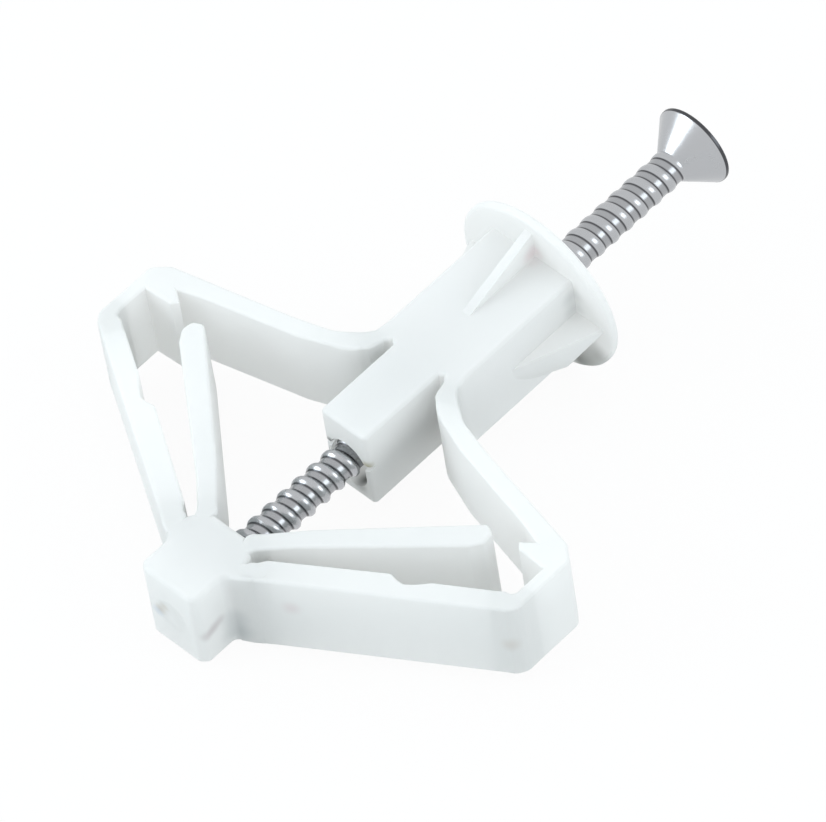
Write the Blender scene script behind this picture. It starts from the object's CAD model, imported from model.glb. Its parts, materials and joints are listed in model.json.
# %% [markdown]
# # Butterfly anchor
# A white plastic anchor for hollow walls, with its steel screw. The moulding is one piece
# of plastic: a flange, a sleeve, two wings that fold at thin film hinges, and a nose block
# that the screw pulls on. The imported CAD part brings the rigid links. This lesson adds the
# films that join them, the screw's thread, the finishes and the light.

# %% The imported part, and where its own axes lie
import json
import math

import bmesh
import bpy
from mathutils import Matrix, Vector


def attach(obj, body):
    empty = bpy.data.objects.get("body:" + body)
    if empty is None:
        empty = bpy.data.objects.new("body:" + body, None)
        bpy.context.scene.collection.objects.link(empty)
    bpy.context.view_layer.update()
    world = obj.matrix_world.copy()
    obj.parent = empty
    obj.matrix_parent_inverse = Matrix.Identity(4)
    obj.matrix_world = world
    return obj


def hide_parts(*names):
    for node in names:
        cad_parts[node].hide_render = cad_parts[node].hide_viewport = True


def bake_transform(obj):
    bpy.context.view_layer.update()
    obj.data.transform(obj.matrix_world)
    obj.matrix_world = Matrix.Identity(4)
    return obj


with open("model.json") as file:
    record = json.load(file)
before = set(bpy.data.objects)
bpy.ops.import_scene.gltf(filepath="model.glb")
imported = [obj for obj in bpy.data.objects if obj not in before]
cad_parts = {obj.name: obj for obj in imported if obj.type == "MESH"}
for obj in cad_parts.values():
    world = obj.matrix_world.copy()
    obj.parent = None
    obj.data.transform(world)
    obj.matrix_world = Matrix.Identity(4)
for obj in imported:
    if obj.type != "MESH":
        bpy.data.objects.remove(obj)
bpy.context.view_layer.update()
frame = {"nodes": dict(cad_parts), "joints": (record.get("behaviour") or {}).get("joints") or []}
MM = 0.001

# %% [markdown]
# The anchor lies on the table on its flange and its nose, so its own axes are tipped by a
# few degrees. The joints say how: the screw's slide gives the long axis, the wing hinge
# gives the depth, and the two wing hinges stand either side of the long axis. With those a
# piece can be drawn flat, in millimetres, the way a mould maker draws it, and then placed.

# %% From the drawing to the table
joints = {joint["name"]: joint for joint in frame["joints"]}
along = Vector(joints["screw_travel"]["axis"]).normalized()
deep = Vector(joints["wing_fold_left"]["axis"]).normalized()
across = deep.cross(along)
shoulder_left = Vector(joints["wing_fold_left"]["pos_m"])
shoulder_right = Vector(joints["wing_fold_right"]["pos_m"])
SHOULDER_X = -16.35
origin = (shoulder_left + shoulder_right) / 2 - along * SHOULDER_X * MM
place = Matrix((along, across, deep)).transposed().to_4x4()
place.translation = origin


def spot(x, y, z=0.0):
    """A point of the drawing, in millimetres, as a place on the table in metres."""
    return place @ (Vector((x, y, z)) * MM)


print("flange back at", [round(v, 5) for v in spot(0, 0, 0)])

# %% [markdown]
# Every finish below is a small tree of nodes. One function adds a node, sets its options and
# links its inputs, and one turns a written colour into the linear numbers Blender works in.

# %% Colours and nodes


def shade(code):
    """An sRGB hex colour as linear red, green, blue and alpha."""
    parts = [int(code[i:i + 2], 16) / 255 for i in (1, 3, 5)]
    linear = [c / 12.92 if c <= 0.04045 else ((c + 0.055) / 1.055) ** 2.4 for c in parts]
    return (*linear, 1.0)


def add(tree, kind, inputs=None, **settings):
    """Adds one node. inputs maps a socket's name or number to a value or an output."""
    node = tree.nodes.new(kind)
    for key, value in settings.items():
        setattr(node, key, value)
    for key, value in (inputs or {}).items():
        socket = node.inputs[key]
        if isinstance(value, bpy.types.NodeSocket):
            tree.links.new(value, socket)
        else:
            socket.default_value = value
    return node


def finish(name):
    """An empty material with its output node."""
    material = bpy.data.materials.new(name)
    material.use_nodes = True
    material.node_tree.nodes.clear()
    output = material.node_tree.nodes.new("ShaderNodeOutputMaterial")
    return material, material.node_tree, output


print("mid grey in linear light", round(shade("#808080")[0], 3))

# %% [markdown]
# The plastic is white polypropylene, moulded and semi-matt: bendy enough for film hinges,
# and milky, so that part of the light goes through the walls and brightens the channels
# between the arms. The skin is almost smooth. Its colour drifts a little, as moulded parts
# do, and handling has left a few faint smudges. Each smudge is a soft ball of tint round a
# place on the part. The dark ones, at the bore's mouth and behind the flange, stand for the
# deep shade of those corners.

# %% Moulded white polypropylene
white_pp, tree, out = finish("moulded_white_polypropylene")
where = add(tree, "ShaderNodeTexCoord").outputs["Object"]
drift = add(tree, "ShaderNodeTexNoise", {"Vector": where, "Scale": 160.0, "Detail": 2.0})
colour = add(tree, "ShaderNodeMix", {0: drift.outputs["Fac"], 6: shade("#F5F5F4"),
                                     7: shade("#F1F2F1")}, data_type="RGBA").outputs[2]
SMUDGES = [
    # x, y, z of the drawing, radius in mm, tint, strength
    (-29.92, -25.0, -0.33, 1.3, "#D2C6BA", 0.24),
    (-46.7, 1.35, -0.1, 0.9, "#C0AE94", 0.32),
    (-46.7, 1.8, -0.7, 1.0, "#C0CCDC", 0.34),
    (-46.7, 0.8, 0.7, 0.8, "#C8BCA8", 0.3),
    (-45.8, -3.4, -0.9, 1.0, "#B0A2A4", 0.35),
    (-45.0, -3.4, -0.6, 1.0, "#B0A2A4", 0.4),
    (-44.2, -3.4, -0.3, 0.9, "#BBB0B2", 0.35),
    (-42.7, -3.5, -1.2, 2.0, "#B4BABC", 0.3),
    (-42.7, -3.5, -3.2, 2.2, "#A6AEB0", 0.4),
    (-39.98, -8.28, 1.26, 1.3, "#E2CFD2", 0.3),
    (-0.46, -0.45, 5.6, 1.5, "#E2C8CC", 0.4),
    (-0.45, -4.9, 2.9, 1.5, "#BFC4C4", 0.35),
    (-0.4, -4.9, 1.2, 1.5, "#BFC4C4", 0.35),
    (0.0, -4.3, -7.0, 1.9, "#585B56", 0.7),
    (0.0, -5.5, -6.2, 2.8, "#868984", 0.65),
    (0.0, -6.9, -4.4, 2.6, "#9A9C98", 0.6),
    (-24.4, -2.45, 0.7, 0.9, "#9E9668", 0.7),
    (-23.5, -0.9, -3.1, 1.6, "#2C2E2A", 0.95),
    (-24.2, 2.0, 0.75, 0.7, "#3A3C3A", 0.85),
]
FADE_FROM, FADE_TO = 0.2, 0.6
SEE_THROUGH = 0.5
plain = colour
for x, y, z, radius, tint, strength in SMUDGES:
    away = add(tree, "ShaderNodeVectorMath", {0: where, 1: spot(x, y, z)}, operation="DISTANCE")
    near = add(tree, "ShaderNodeMapRange", {"Value": away.outputs["Value"], "From Min": 0.0,
                                            "From Max": radius * MM, "To Min": strength,
                                            "To Max": 0.0}, interpolation_type="SMOOTHSTEP")
    colour = add(tree, "ShaderNodeMix", {0: near.outputs["Result"], 6: colour,
                                         7: shade(tint)}, data_type="RGBA").outputs[2]
# the marks are on the wall's side of the flange, so they fade out within its thickness
depth = add(tree, "ShaderNodeVectorMath", {0: where, 1: along}, operation="DOT_PRODUCT")
back_face = spot(0, 0, 0).dot(along)
behind = add(tree, "ShaderNodeMapRange", {"Value": depth.outputs["Value"],
                                          "From Min": back_face + FADE_FROM * MM,
                                          "From Max": back_face + FADE_TO * MM,
                                          "To Min": 1.0, "To Max": 0.0})
colour = add(tree, "ShaderNodeMix", {0: behind.outputs["Result"], 6: plain, 7: colour},
             data_type="RGBA").outputs[2]
skin = add(tree, "ShaderNodeTexNoise", {"Vector": where, "Scale": 1400.0, "Detail": 3.0})
sheen = add(tree, "ShaderNodeMapRange", {"Value": drift.outputs["Fac"], "To Min": 0.38,
                                         "To Max": 0.5})
dimple = add(tree, "ShaderNodeBump", {"Height": skin.outputs["Fac"], "Strength": 0.12,
                                      "Distance": 0.00004})
plastic = add(tree, "ShaderNodeBsdfPrincipled", {
    "Base Color": colour, "Roughness": sheen.outputs["Result"], "IOR": 1.49,
    "Normal": dimple.outputs["Normal"]})
through = add(tree, "ShaderNodeBsdfTranslucent", {"Color": colour})
both = add(tree, "ShaderNodeMixShader", {0: SEE_THROUGH, 1: plastic.outputs[0],
                                         2: through.outputs[0]})
tree.links.new(both.outputs[0], out.inputs["Surface"])

for name, node in frame["nodes"].items():
    if name != "screw":
        node.data.materials.clear()
        node.data.materials.append(white_pp)
print("plastic on", len(frame["nodes"]) - 1, "links")

# %% [markdown]
# Each film hinge is a thin web of the same plastic that bends. The CAD links meet at a small
# round knuckle with a running gap, so the film is drawn here as a skin that wraps the joint
# from one link to the next: a row of rounded rectangles, lofted. It starts and ends just
# under the plastic and stands a hair proud in the middle, so the moulding reads as one piece,
# and it is blended between its two links so that it bends with them.

# %% A skin lofted through rounded sections
HALF = 4.75
EDGE = 0.3
CORNER_STEPS = 4
FILM_STEPS = 4
UNDER, PROUD = -0.015, 0.03


def section(outer, inner, swell):
    """A rounded rectangle from the outer wall to the inner wall, right through the depth."""
    a = Vector((*outer, 0.0))
    b = Vector((*inner, 0.0))
    way = (b - a).normalized()
    width = (b - a).length / 2 + swell
    top = HALF + swell
    middle = (a + b) / 2
    ring = []
    for side, sign, start in ((-1, -1, 180), (1, -1, 270), (1, 1, 0), (-1, 1, 90)):
        for step in range(CORNER_STEPS + 1):
            turn = math.radians(start + 90 * step / CORNER_STEPS)
            u = side * (width - EDGE) + EDGE * math.cos(turn)
            v = sign * (top - EDGE) + EDGE * math.sin(turn)
            ring.append(middle + way * u + Vector((0, 0, v)))
    return ring


def piece_from(name, mesh, material):
    """A named piece from a finished mesh, with its faces outward."""
    bmesh.ops.recalc_face_normals(mesh, faces=mesh.faces)
    data = bpy.data.meshes.new(name)
    mesh.to_mesh(data)
    mesh.free()
    data.materials.append(material)
    piece = bpy.data.objects.new(name, data)
    bpy.context.scene.collection.objects.link(piece)
    return piece


def loft(name, rings):
    """A closed skin through rings of points of the drawing, placed on the table."""
    mesh = bmesh.new()
    rows = [[mesh.verts.new(place @ (p * MM)) for p in ring] for ring in rings]
    count = len(rows[0])
    for low, high in zip(rows, rows[1:]):
        for i in range(count):
            j = (i + 1) % count
            mesh.faces.new((low[i], low[j], high[j], high[i]))
    mesh.faces.new(list(reversed(rows[0])))
    mesh.faces.new(rows[-1])
    return piece_from(name, mesh, white_pp)


def smooth(t):
    """Eases from 0 to 1."""
    t = min(1.0, max(0.0, t))
    return t * t * (3 - 2 * t)


def film(name, pairs, side):
    """One film skin that rises from under the plastic at both ends. side is 1 for the left
    wing and -1 for the right."""
    fine = []
    for (a0, b0), (a1, b1) in zip(pairs, pairs[1:]):
        for i in range(FILM_STEPS):
            t = i / FILM_STEPS
            fine.append(([p + (q - p) * t for p, q in zip(a0, a1)],
                         [p + (q - p) * t for p, q in zip(b0, b1)]))
    fine.append(pairs[-1])
    rings = []
    for i, (outer, inner) in enumerate(fine):
        t = i / (len(fine) - 1)
        rise = min(smooth(3 * t), smooth(3 * (1 - t)))
        rings.append(section((outer[0], side * outer[1]), (inner[0], side * inner[1]),
                             UNDER + (PROUD - UNDER) * rise))
    return loft(name, rings)


print("points round a section", 4 * (CORNER_STEPS + 1))

# %% [markdown]
# The four hinges of a wing are drawn as pairs of points: where the outer wall runs, and
# where the inner wall runs, from one link to the next.

# %% The films of both wings
SHOULDER_FILM = [((-14.5, 4.98), (-14.95, 3.42)), ((-14.95, 5.10), (-15.3, 3.68)),
                 ((-15.3, 5.33), (-15.8, 3.82)), ((-15.6, 5.58), (-16.3, 3.93)),
                 ((-15.9, 5.92), (-16.82, 4.13)), ((-16.3, 6.5), (-17.2, 4.53)),
                 ((-16.6, 6.95), (-17.4, 4.72))]
ELBOW_FILM = [((-27.0, 25.7), (-27.0, 24.35)), ((-27.9, 25.7), (-27.8, 24.34)),
              ((-28.6, 25.7), (-28.12, 24.22)), ((-29.05, 25.58), (-28.3, 24.02)),
              ((-29.4, 25.4), (-28.33, 23.85)), ((-29.72, 25.16), (-28.36, 23.56)),
              ((-29.97, 24.92), (-28.5, 23.32)), ((-30.35, 24.28), (-28.75, 22.9)),
              ((-30.7, 23.7), (-29.0, 22.48))]
NOSE_FILM = [((-40.75, 7.0), (-39.2, 5.03)), ((-41.2, 6.25), (-39.62, 4.73)),
             ((-41.6, 5.58), (-39.95, 4.4)), ((-41.85, 5.26), (-40.0, 4.1)),
             ((-42.15, 4.77), (-40.15, 3.83)), ((-42.4, 4.34), (-40.55, 3.55)),
             ((-42.66, 3.9), (-40.9, 3.25))]
STRUT_FILM = [((-38.15, 4.5), (-36.9, 3.19)), ((-38.55, 4.09), (-37.3, 2.79)),
              ((-38.95, 3.67), (-37.72, 2.36)), ((-39.24, 3.47), (-38.15, 1.96)),
              ((-39.5, 3.40), (-38.42, 1.87)), ((-39.75, 3.25), (-38.75, 1.9)),
              ((-39.95, 2.95), (-39.1, 1.95))]
for side, word in ((1, "left"), (-1, "right")):
    shoulder = film("shoulder_film_" + word, SHOULDER_FILM, side)
    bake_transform(shoulder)
    elbow = film("elbow_film_" + word, ELBOW_FILM, side)
    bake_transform(elbow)
    strut = film("strut_film_" + word, STRUT_FILM, side)
    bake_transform(strut)
nose_left = film("nose_film_left", NOSE_FILM, 1)
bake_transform(nose_left)

# %% [markdown]
# The two wings and the nose make a closed ring of links. A tree of joints can't hold a ring,
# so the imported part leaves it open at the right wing's nose hinge and moves both sides by
# the same rule. No joint spans that hinge, so its film is made of two shells that share the
# hinge's own axis. One rides on the nose and one on the arm. They slide over each other, so
# the hinge stays closed at every angle. A thin lid covers it above and below.

# %% The open hinge: two shells and two lids on one axis
PIN = Vector((-40.85, -4.95, 0))
WALL = Vector((-0.5155, 0.8569, 0))
OUT = Vector((-0.8569, -0.5155, 0))
SHELL_THICK = 0.75
ROUND_STEPS = 8
RISE_RATE = 1.6


def shell(name, straight, radius, start, stop, high):
    """A shell along straight outer points, then round the hinge from one angle to another."""
    rings = []
    for i, (x, y) in enumerate(straight):
        outer = Vector((x, y, 0))
        inner = outer - OUT * SHELL_THICK
        lift = UNDER + (high - UNDER) * smooth(i / (len(straight) - 1) * RISE_RATE)
        rings.append(section(outer[:2], inner[:2], lift))
    for i in range(ROUND_STEPS + 1):
        turn = math.radians(start + (stop - start) * i / ROUND_STEPS)
        way = OUT * math.cos(turn) + WALL * math.sin(turn)
        rings.append(section((PIN + way * radius)[:2],
                             (PIN + way * (radius - SHELL_THICK))[:2], 0.0))
    return loft(name, rings)


nose_side = shell("nose_film_right", [(-42.66, -3.9), (-42.4, -4.34), (-42.15, -4.77),
                                      (-41.88, -5.21)], 1.03, 2, -50, 0.03)
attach(nose_side, "nose")
arm_side = shell("nose_film_right_arm", [(-40.75, -7.0), (-41.0, -6.59), (-41.3, -6.09),
                                         (-41.62, -5.56)], 1.02, -2, 50, 0.02)
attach(arm_side, "lower_arm_right")


def lid(name, sign):
    """A plate that covers the top or the bottom of the open hinge."""
    mesh = bmesh.new()
    low, high = (HALF + 0.004) * sign, (HALF + 0.03) * sign
    outline = [(-1.0, -0.62), (-1.3, -0.3), (-1.3, 0.3), (-1.0, 0.62),
               (1.0, 0.62), (1.3, 0.3), (1.3, -0.3), (1.0, -0.62)]
    rows = []
    for z in (low, high):
        rows.append([mesh.verts.new(place @ ((PIN + WALL * u + OUT * v
                                              + Vector((0, 0, z))) * MM)) for u, v in outline])
    for i in range(len(outline)):
        j = (i + 1) % len(outline)
        mesh.faces.new((rows[0][i], rows[0][j], rows[1][j], rows[1][i]))
    mesh.faces.new(rows[0])
    mesh.faces.new(list(reversed(rows[1])))
    return piece_from(name, mesh, white_pp)


for word, sign in (("top", 1), ("bottom", -1)):
    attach(lid("nose_lid_" + word, sign), "nose")
print("open hinge closed with 2 shells and 2 lids")

# %% [markdown]
# The nose is bored for the screw, but its far end is closed by a thin skin of plastic that
# the point breaks through when the screw is driven home. It is a shallow disc, a hair proud
# of the end wall at its edge and dished in the middle.

# %% The skin over the end of the nose


def disc(name, x, radius, thick, dish, rings=10, around=48):
    """A round skin square to the screw, dished in the middle, closed at the back."""
    mesh = bmesh.new()
    front = [mesh.verts.new(spot(x + dish, 0, 0))]
    rows = []
    for i in range(1, rings + 1):
        r = radius * i / rings
        sag = dish * (0.5 + 0.5 * math.cos(math.pi * min(1.0, r / (radius * 0.8))))
        rows.append([mesh.verts.new(spot(x + sag, r * math.cos(2 * math.pi * j / around),
                                         r * math.sin(2 * math.pi * j / around)))
                     for j in range(around)])
    for j in range(around):
        k = (j + 1) % around
        mesh.faces.new((front[0], rows[0][j], rows[0][k]))
        for low, high in zip(rows, rows[1:]):
            mesh.faces.new((low[j], high[j], high[k], low[k]))
    back = [mesh.verts.new(spot(x + thick, radius * math.cos(2 * math.pi * j / around),
                                radius * math.sin(2 * math.pi * j / around)))
            for j in range(around)]
    for j in range(around):
        k = (j + 1) % around
        mesh.faces.new((rows[-1][j], back[j], back[k], rows[-1][k]))
    mesh.faces.new(back)
    return piece_from(name, mesh, white_pp)


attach(disc("nose_end_skin", -46.705, 1.86, 0.45, 0.05), "nose")

# %% [markdown]
# The screw is bright zinc plated steel. Its thread is one rule repeated: at any point the
# radius depends only on how far along and how far round it is. That is a job for Geometry
# Nodes. A flat grid is rolled into a tube, and each point is pushed out to the root or the
# crest by where it falls in the pitch. The two ends are drawn in to the axis, one as the
# point, one as a cap inside the head. The thread is a little shallower near the head. The
# height in the thread is kept as an attribute, because the plating is dull along the foot of
# each ridge and bright elsewhere.

# %% The rolled thread, as a node tree
PITCH = 1.8645
MAJOR = 1.75
MINOR = 1.42
HEAD_MINOR = 1.6
TIP_X = -44.1
THREAD_TOP = 18.1
POINT = 4.5
STEPS = 48
ACROSS = 24
RIDGE_HALF, RIDGE_FLANK = 0.38, 0.33
POINT_CURVE = 0.75
SWELL_FROM, SWELL_OVER = 0.45, 0.25
WELD = 0.000004


def thread_tree():
    """A node tree that winds a strip of thread round X, in metres."""
    tree = bpy.data.node_groups.new("rolled_thread", "GeometryNodeTree")
    tree.interface.new_socket("Geometry", in_out="OUTPUT", socket_type="NodeSocketGeometry")
    for key in ("Start", "Length", "Major radius", "Minor radius", "Head minor radius",
                "Pitch", "Point", "Phase"):
        tree.interface.new_socket(key, in_out="INPUT", socket_type="NodeSocketFloat")
    for key in ("Turns", "Steps", "Across"):
        tree.interface.new_socket(key, in_out="INPUT", socket_type="NodeSocketInt")
    tree.interface.new_socket("Finish", in_out="INPUT", socket_type="NodeSocketMaterial")
    given = add(tree, "NodeGroupInput").outputs

    def calc(operation, *values, clamp=False):
        node = add(tree, "ShaderNodeMath", dict(enumerate(values)), operation=operation,
                   use_clamp=clamp)
        return node.outputs[0]

    # a flat strip: its long way is the winding, its short way is one pitch of the profile
    rows = calc("ADD", calc("MULTIPLY", given["Turns"], given["Steps"]), 1)
    grid = add(tree, "GeometryNodeMeshGrid", {"Size X": 1.0, "Size Y": 1.0,
                                              "Vertices X": rows,
                                              "Vertices Y": calc("ADD", given["Across"], 1)})
    flat = add(tree, "ShaderNodeSeparateXYZ",
               {0: add(tree, "GeometryNodeInputPosition").outputs[0]}).outputs
    wound = calc("MULTIPLY", calc("ADD", flat["X"], 0.5), given["Turns"])
    share = calc("ADD", flat["Y"], 0.5)
    # the ridge stands in the middle of the strip, with soft feet and a rounded crest
    centred = calc("ABSOLUTE", calc("SUBTRACT", share, 0.5))
    off = calc("DIVIDE", calc("SUBTRACT", RIDGE_HALF, centred), RIDGE_FLANK, clamp=True)
    height = calc("MULTIPLY", calc("MULTIPLY", off, off),
                  calc("SUBTRACT", 3.0, calc("MULTIPLY", off, 2.0)))
    raw = calc("MULTIPLY", calc("SUBTRACT", calc("ADD", wound, share), 1.0), given["Pitch"])
    x = calc("MINIMUM", calc("MAXIMUM", raw, 0.0), given["Length"])
    gone = calc("DIVIDE", x, given["Point"], clamp=True)
    taper = calc("POWER", gone, POINT_CURVE)
    capped = calc("MULTIPLY", taper, calc("LESS_THAN", raw, given["Length"]))
    # the thread is shallower near the head: the root thickens over the middle of the screw
    swell = calc("DIVIDE", calc("SUBTRACT", calc("DIVIDE", x, given["Length"]), SWELL_FROM),
                 SWELL_OVER, clamp=True)
    swollen = calc("SUBTRACT", given["Head minor radius"], given["Minor radius"])
    root = calc("ADD", given["Minor radius"], calc("MULTIPLY", swell, swollen))
    tall = calc("MULTIPLY", calc("SUBTRACT", given["Major radius"], root), height)
    radius = calc("MULTIPLY", calc("ADD", root, tall), capped)
    angle = calc("ADD", calc("MULTIPLY", wound, 2 * math.pi), given["Phase"])
    rolled = add(tree, "ShaderNodeCombineXYZ", {
        0: calc("ADD", x, given["Start"]),
        1: calc("MULTIPLY", radius, calc("COSINE", angle)),
        2: calc("MULTIPLY", radius, calc("SINE", angle))})
    kept = add(tree, "GeometryNodeStoreNamedAttribute",
               {"Geometry": grid.outputs["Mesh"], "Name": "thread_height", "Value": height},
               data_type="FLOAT", domain="POINT")
    shaped = add(tree, "GeometryNodeSetPosition", {"Geometry": kept.outputs[0],
                                                   "Position": rolled.outputs[0]})
    closed = add(tree, "GeometryNodeMergeByDistance", {"Geometry": shaped.outputs[0],
                                                       "Distance": WELD})
    real = add(tree, "GeometryNodeRealizeInstances", {"Geometry": closed.outputs[0]})
    dressed = add(tree, "GeometryNodeSetMaterial", {"Geometry": real.outputs[0],
                                                    "Material": given["Finish"]})
    add(tree, "NodeGroupOutput", {0: dressed.outputs[0]})
    return tree


print("screw thread of pitch", PITCH, "mm, about", round((THREAD_TOP - TIP_X) / PITCH), "turns")

# %% [markdown]
# Plated steel: a metal with a slightly blue mid grey. The rolling dies burnished it, so it
# shines. A dull dark film is left along the foot of each ridge. The gloss drifts a little.

# %% Bright zinc plated steel
FOOT = 0.22
zinc, tree, out = finish("bright_zinc_plated_steel")
where = add(tree, "ShaderNodeTexCoord").outputs["Object"]
height = add(tree, "ShaderNodeAttribute", attribute_name="thread_height").outputs["Fac"]
foot = add(tree, "ShaderNodeMath", {0: height, 1: FOOT}, operation="SUBTRACT").outputs[0]
foot = add(tree, "ShaderNodeMath", {0: foot}, operation="ABSOLUTE").outputs[0]
bright = add(tree, "ShaderNodeMapRange", {"Value": foot, "From Min": 0.04, "From Max": 0.3},
             interpolation_type="SMOOTHSTEP")
grime = add(tree, "ShaderNodeTexNoise", {"Vector": where, "Scale": 900.0, "Detail": 4.0})
metal = add(tree, "ShaderNodeMix", {0: bright.outputs["Result"], 6: shade("#4E4F52"),
                                    7: shade("#B6B8BB")}, data_type="RGBA")
rough = add(tree, "ShaderNodeMapRange", {"Value": grime.outputs["Fac"], "To Min": 0.16,
                                         "To Max": 0.34})
steel = add(tree, "ShaderNodeBsdfPrincipled", {"Base Color": metal.outputs[2],
                                               "Metallic": 1.0,
                                               "Roughness": rough.outputs["Result"]})
tree.links.new(steel.outputs["BSDF"], out.inputs["Surface"])
print("zinc", len(tree.nodes), "nodes")

# %% [markdown]
# The tree is only a rule until it runs. It is run once here, with the screw's own sizes, and
# the result is kept as a plain mesh. That is laid on the screw's axis and given its creases
# like any other mesh.

# %% The shank, made a plain mesh
SHANK_CREASE = 50


def baked(piece):
    """The piece with its modifiers made plain mesh, and the modifiers gone."""
    bpy.context.view_layer.update()
    graph = bpy.context.evaluated_depsgraph_get()
    plain = bpy.data.meshes.new_from_object(piece.evaluated_get(graph))
    piece.modifiers.clear()
    piece.data = plain
    return piece


def with_nodes(name, tree, values):
    """A piece whose mesh comes from a node tree, with the tree's inputs set by name."""
    piece = bpy.data.objects.new(name, bpy.data.meshes.new(name))
    bpy.context.scene.collection.objects.link(piece)
    modifier = piece.modifiers.new("shape", "NODES")
    modifier.node_group = tree
    for item in tree.interface.items_tree:
        if item.in_out == "INPUT" and item.name in values:
            modifier[item.identifier] = values[item.name]
    return baked(piece)


shank = with_nodes("screw_thread", thread_tree(), {
    "Start": TIP_X * MM, "Length": (THREAD_TOP - TIP_X) * MM, "Major radius": MAJOR * MM,
    "Minor radius": MINOR * MM, "Head minor radius": HEAD_MINOR * MM, "Pitch": PITCH * MM,
    "Point": POINT * MM, "Phase": -1.5,
    "Turns": math.ceil((THREAD_TOP - TIP_X) / PITCH) + 1, "Steps": STEPS, "Across": ACROSS,
    "Finish": zinc})
shank.data.transform(place)
mesh = bmesh.new()
mesh.from_mesh(shank.data)
bmesh.ops.recalc_face_normals(mesh, faces=mesh.faces)
mesh.to_mesh(shank.data)
mesh.free()
for face in shank.data.polygons:
    face.use_smooth = True
shank.data.set_sharp_from_angle(angle=math.radians(SHANK_CREASE))
print("thread", len(shank.data.polygons), "faces")
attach(shank, "screw")

# %% [markdown]
# The head is turned: a countersunk cone with a thin dull rim and a flat top, so it is a
# profile spun round the axis. A cross recess is pressed into the top. It is cut with a
# tapered cross, the way the punch makes it.

# %% The countersunk head
HEAD_TOP = 20.9
HEAD_R = 4.1
NECK_X = 17.65
RIM_X, RIM_R = 20.5, 4.05
HEAD_CREASE = 28
head_profile = [(NECK_X - 0.5, 0.0), (NECK_X - 0.5, 1.3), (NECK_X, 1.72), (NECK_X + 0.1, 1.83),
                (20.42, 3.98), (20.53, 4.08), (20.6, HEAD_R), (20.8, HEAD_R),
                (20.87, 4.06), (HEAD_TOP, 3.97), (HEAD_TOP, 0.0)]


def turned(name, profile, around=96):
    """A profile of (x, radius) in millimetres, spun round the screw's axis."""
    mesh = bmesh.new()
    rows = []
    for x, r in profile:
        if r == 0.0:
            rows.append([mesh.verts.new((x * MM, 0, 0))])
            continue
        rows.append([mesh.verts.new((x * MM, r * MM * math.cos(2 * math.pi * j / around),
                                     r * MM * math.sin(2 * math.pi * j / around)))
                     for j in range(around)])
    for low, high in zip(rows, rows[1:]):
        for j in range(around):
            k = (j + 1) % around
            if len(low) == 1:
                mesh.faces.new((low[0], high[k], high[j]))
            elif len(high) == 1:
                mesh.faces.new((low[j], low[k], high[0]))
            else:
                mesh.faces.new((low[j], low[k], high[k], high[j]))
    bmesh.ops.recalc_face_normals(mesh, faces=mesh.faces)
    data = bpy.data.meshes.new(name)
    mesh.to_mesh(data)
    mesh.free()
    piece = bpy.data.objects.new(name, data)
    bpy.context.scene.collection.objects.link(piece)
    return piece


def cross_punch(depth=2.3, reach=2.0, arm=0.42, wide=1.1, draw=0.32):
    """The tapered cross that presses the recess. wide and draw scale its two ends."""
    outline = []
    for quarter in range(4):
        turn = Matrix.Rotation(math.pi / 2 * quarter, 2)
        for point in ((reach, -arm), (reach, arm), (arm, arm)):
            outline.append(turn @ Vector(point))
    mesh = bmesh.new()
    top = [mesh.verts.new(((HEAD_TOP + 0.3) * MM, p.x * MM * wide, p.y * MM * wide))
           for p in outline]
    low = [mesh.verts.new(((HEAD_TOP - depth) * MM, p.x * MM * draw, p.y * MM * draw))
           for p in outline]
    for i in range(len(outline)):
        j = (i + 1) % len(outline)
        mesh.faces.new((top[i], top[j], low[j], low[i]))
    mesh.faces.new(top)
    mesh.faces.new(list(reversed(low)))
    bmesh.ops.recalc_face_normals(mesh, faces=mesh.faces)
    data = bpy.data.meshes.new("cross_punch")
    mesh.to_mesh(data)
    mesh.free()
    piece = bpy.data.objects.new("cross_punch", data)
    bpy.context.scene.collection.objects.link(piece)
    return piece


head = turned("screw_head", head_profile)
punch = cross_punch()
cut = head.modifiers.new("recess", "BOOLEAN")
cut.object = punch
cut.operation = "DIFFERENCE"
cut.solver = "EXACT"
baked(head)
bpy.data.objects.remove(punch)
head.data.transform(place)
head.data.materials.clear()
head.data.materials.append(zinc)
tall = head.data.attributes.new("thread_height", "FLOAT", "POINT")
for vertex, entry in zip(head.data.vertices, tall.data):
    there = place.inverted() @ vertex.co / MM
    on_rim = there.x > RIM_X and math.hypot(there.y, there.z) > RIM_R
    entry.value = FOOT if on_rim else 1.0
for face in head.data.polygons:
    face.use_smooth = True
head.data.set_sharp_from_angle(angle=math.radians(HEAD_CREASE))
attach(head, "screw")
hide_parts("screw")
print("head", len(head.data.polygons), "faces")

# %% [markdown]
# The set is plain: a white table that runs out of sight, two soft lamps, and an even pale
# room that is a little brighter overhead. The camera, reflections and rays that pass through
# a surface all see the table and the room as the same plain white, so the metal shows the
# background it stands on. The light that falls on the anchor is set apart from that, so that
# white plastic renders about as it is written and doesn't burn out.

# %% The table
TABLE_GLOW = 0.94
TABLE_REACH = 1.5


def background_seen(tree):
    """1 for the rays that show the background: camera, glossy and transmission rays."""
    rays = add(tree, "ShaderNodeLightPath").outputs
    shown = add(tree, "ShaderNodeMath", {0: rays["Is Camera Ray"], 1: rays["Is Glossy Ray"]},
                operation="MAXIMUM").outputs[0]
    return add(tree, "ShaderNodeMath", {0: shown, 1: rays["Is Transmission Ray"]},
               operation="MAXIMUM").outputs[0]


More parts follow.
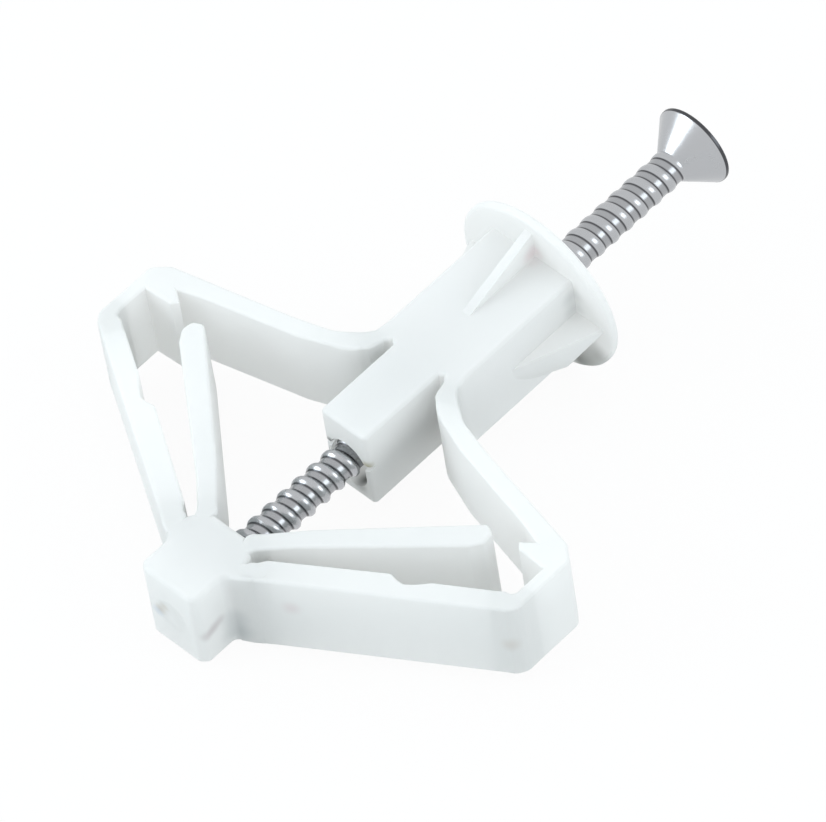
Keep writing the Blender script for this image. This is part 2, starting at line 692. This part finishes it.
table_mesh = bpy.data.meshes.new("table")
table_mesh.from_pydata([(x * TABLE_REACH, y * TABLE_REACH, 0)
                        for x, y in ((-1, -1), (1, -1), (1, 1), (-1, 1))], [], [(0, 1, 2, 3)])
table = bpy.data.objects.new("table", table_mesh)
bpy.context.scene.collection.objects.link(table)
white_card, tree, out = finish("white_card")
card = add(tree, "ShaderNodeBsdfDiffuse", {"Color": shade("#DADCDC")})
glow = add(tree, "ShaderNodeEmission", {"Color": (1, 1, 1, 1), "Strength": 1.0})
share = add(tree, "ShaderNodeMath", {0: background_seen(tree), 1: TABLE_GLOW},
            operation="MULTIPLY")
both = add(tree, "ShaderNodeMixShader", {0: share.outputs[0], 1: card.outputs[0],
                                         2: glow.outputs[0]})
tree.links.new(both.outputs[0], out.inputs["Surface"])
table_mesh.materials.append(white_card)
print("table", 2 * TABLE_REACH, "m wide")

# %% [markdown]
# The room is a world shader. Its light rises from the horizon to the zenith, so tops are a
# little brighter than walls. The two lamps are large and soft. They give the walls their
# shape, and the larger share of light comes from the left. The bright bands on the steel are
# the lamps' own reflections.

# %% The room and the lamps
HORIZON, ZENITH = 1.04, 1.34
ZENITH_AT = 0.8
LAMP_TINT = "#F0F9FF"
LAMP_AIM = Vector((0, 0, 0.009))
world = bpy.data.worlds.new("white_room")
bpy.context.scene.world = world
world.use_nodes = True
tree = world.node_tree
tree.nodes.clear()
way = add(tree, "ShaderNodeTexCoord").outputs["Generated"]
rise = add(tree, "ShaderNodeSeparateXYZ", {0: way}).outputs["Z"]
sky = add(tree, "ShaderNodeMapRange", {"Value": rise, "From Min": 0.0, "From Max": ZENITH_AT,
                                       "To Min": HORIZON, "To Max": ZENITH})
lit = add(tree, "ShaderNodeBackground", {"Color": shade("#F2F9FD"),
                                         "Strength": sky.outputs["Result"]})
white = add(tree, "ShaderNodeBackground", {"Color": (1, 1, 1, 1), "Strength": 1.0})
mixed = add(tree, "ShaderNodeMixShader", {0: background_seen(tree), 1: lit.outputs[0],
                                          2: white.outputs[0]})
add(tree, "ShaderNodeOutputWorld", {"Surface": mixed.outputs[0]})


def lamp(name, at, size, power):
    """A square soft light, aimed at the middle of the anchor."""
    light = bpy.data.lights.new(name, "AREA")
    light.shape = "SQUARE"
    light.size = size
    light.energy = power
    light.color = shade(LAMP_TINT)[:3]
    holder = bpy.data.objects.new(name, light)
    holder.location = at
    aimed = (LAMP_AIM - Vector(at)).to_track_quat("-Z", "Y")
    holder.rotation_euler = aimed.to_euler()
    bpy.context.scene.collection.objects.link(holder)
    return holder


lamp("left_softbox", (-0.5, 0.42, 0.3), 0.4, 2.0)
lamp("right_softbox", (0.25, -0.6, 0.4), 0.4, 1.0)
print("lamps", len(bpy.data.lights))

# %% [markdown]
# The view is from the nose end, looking down across the right wing, with a long lens. The
# camera leans a little, and its axis meets the moulding's upper face between the sleeve
# and the nose.

# %% The camera
AZIMUTH = math.radians(-43.395)
ELEVATION = math.radians(48.81)
LEAN = math.radians(3.52)
DISTANCE = 0.8915
SENSOR_MM, FOCAL_MM = 36.0, 441.2
aim = Vector((-0.00511, -0.0020, 0.0091))
back = Vector((math.sin(AZIMUTH) * math.cos(ELEVATION),
               -math.cos(AZIMUTH) * math.cos(ELEVATION), math.sin(ELEVATION)))
lens = bpy.data.cameras.new("view")
lens.sensor_width = SENSOR_MM
lens.lens = FOCAL_MM
lens.clip_start = 0.01
lens.clip_end = 10.0
camera = bpy.data.objects.new("view", lens)
bpy.context.scene.collection.objects.link(camera)
right = Vector((0, 0, 1)).cross(back).normalized()
up = back.cross(right)
turned_right = right * math.cos(LEAN) - up * math.sin(LEAN)
turned_up = back.cross(turned_right)
camera.matrix_world = Matrix((turned_right, turned_up, back)).transposed().to_4x4()
camera.location = aim + back * DISTANCE
bpy.context.scene.camera = camera
bpy.context.scene.view_settings.view_transform = "Standard"
print("camera", DISTANCE, "m away, lens", FOCAL_MM, "mm")
